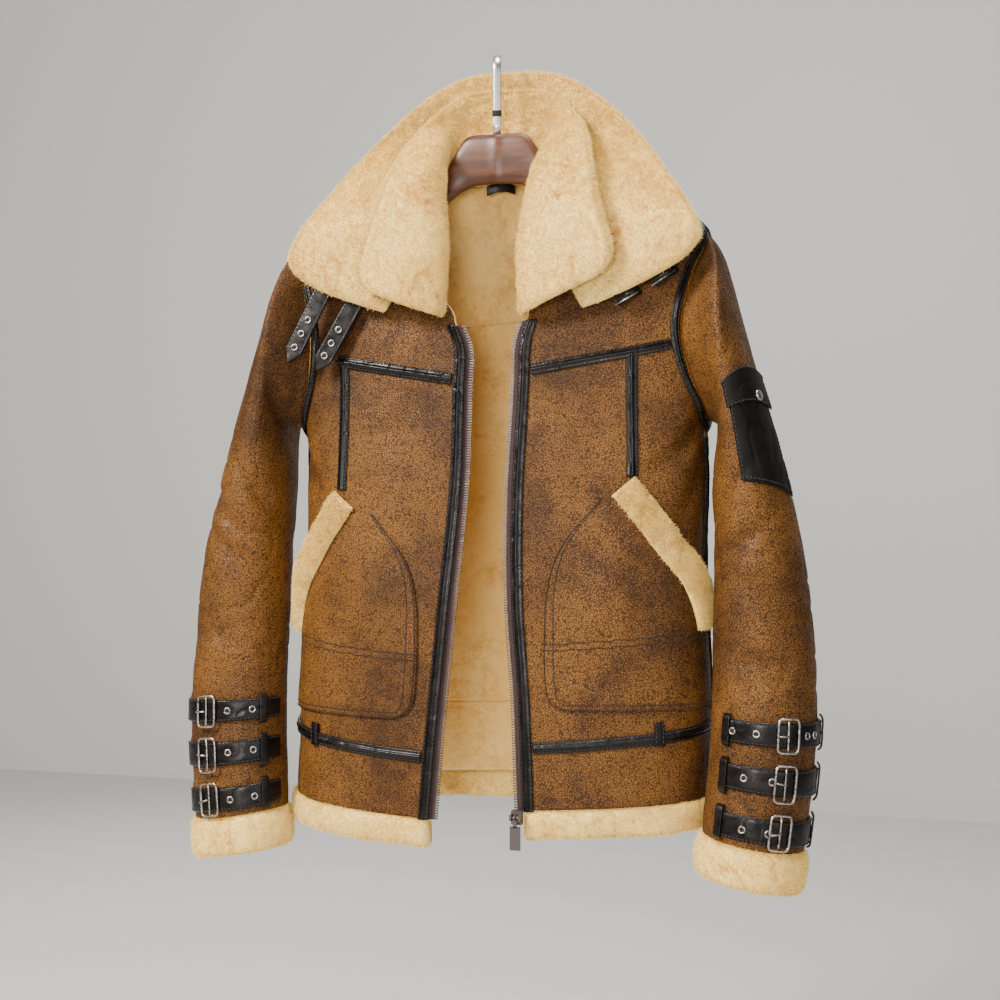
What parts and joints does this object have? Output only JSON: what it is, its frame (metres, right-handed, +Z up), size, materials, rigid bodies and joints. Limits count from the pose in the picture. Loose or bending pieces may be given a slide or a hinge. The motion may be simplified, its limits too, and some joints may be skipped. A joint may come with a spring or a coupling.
{
  "type": "shearling coat on a wooden hanger",
  "caption": "Open-front shearling jacket with a double fur collar, fur-edged pockets, hem and cuffs, buckled cuff straps and dark leather strips, hung on a contoured wooden hanger.",
  "frame": {"origin": "the point inside the hanger's hook that rests on a rail", "axes": "+Z up along the hanging height, the open front faces -Y, +X is the side of the sleeve with the patch pocket"},
  "size_m": [0.6938, 0.2292, 0.8706],
  "materials": {
    "shearling": "distressed tan sheepskin, wool side in",
    "wool": "cream sheared wool",
    "black_leather": "semi-gloss brown-black leather",
    "steel": "aged nickel",
    "wood": "varnished reddish-brown wood"
  },
  "bodies": {
    "jacket": {"armhole_trim_left": "black_leather", "armhole_trim_right": "black_leather", "back": "shearling", "back_band": "shearling", "back_yoke": "shearling", "band_left": "shearling", "band_right": "shearling", "collar_strap_1": "black_leather", "collar_strap_2": "black_leather", "cuff_buckle_left_1": "steel", "cuff_buckle_left_2": "steel", "cuff_buckle_left_3": "steel", "cuff_buckle_right_1": "steel", "cuff_buckle_right_2": "steel", "cuff_buckle_right_3": "steel", "cuff_fur_left": "wool", "cuff_fur_right": "wool", "cuff_strap_left_1": "black_leather", "cuff_strap_left_2": "black_leather", "cuff_strap_left_3": "black_leather", "cuff_strap_right_1": "black_leather", "cuff_strap_right_2": "black_leather", "cuff_strap_right_3": "black_leather", "front_left": "shearling", "front_right": "shearling", "hang_loop": "black_leather", "hanger": "wood", "hem_fur_back": "wool", "hem_fur_left": "wool", "hem_fur_right": "wool", "hook": "steel", "inner_collar": "wool", "outer_collar": "wool", "pocket_patch_left": "shearling", "pocket_patch_right": "shearling", "pocket_welt_left": "wool", "pocket_welt_right": "wool", "side_trim_left": "black_leather", "side_trim_right": "black_leather", "sleeve_pocket": "black_leather", "sleeve_pocket_flap": "black_leather", "top_sleeve_left": "shearling", "top_sleeve_right": "shearling", "under_sleeve_left": "shearling", "under_sleeve_right": "shearling", "waist_trim_back": "black_leather", "waist_trim_left": "black_leather", "waist_trim_right": "black_leather", "yoke_left": "shearling", "yoke_right": "shearling", "yoke_trim_left": "black_leather", "yoke_trim_right": "black_leather", "zip_facing_left": "black_leather", "zip_facing_right": "black_leather", "zip_left": "steel", "zip_right": "steel", "zip_slider": "steel"},
    "pull": {"zip_pull": "steel"}
  },
  "joints": [
    {"name": "pull_hinge", "type": "hinge", "parent": "jacket", "child": "pull", "pos_m": [0.05589, -0.12884, -0.799], "axis": [-1, 0, 0], "range_deg": [-5, 150]}
  ]
}
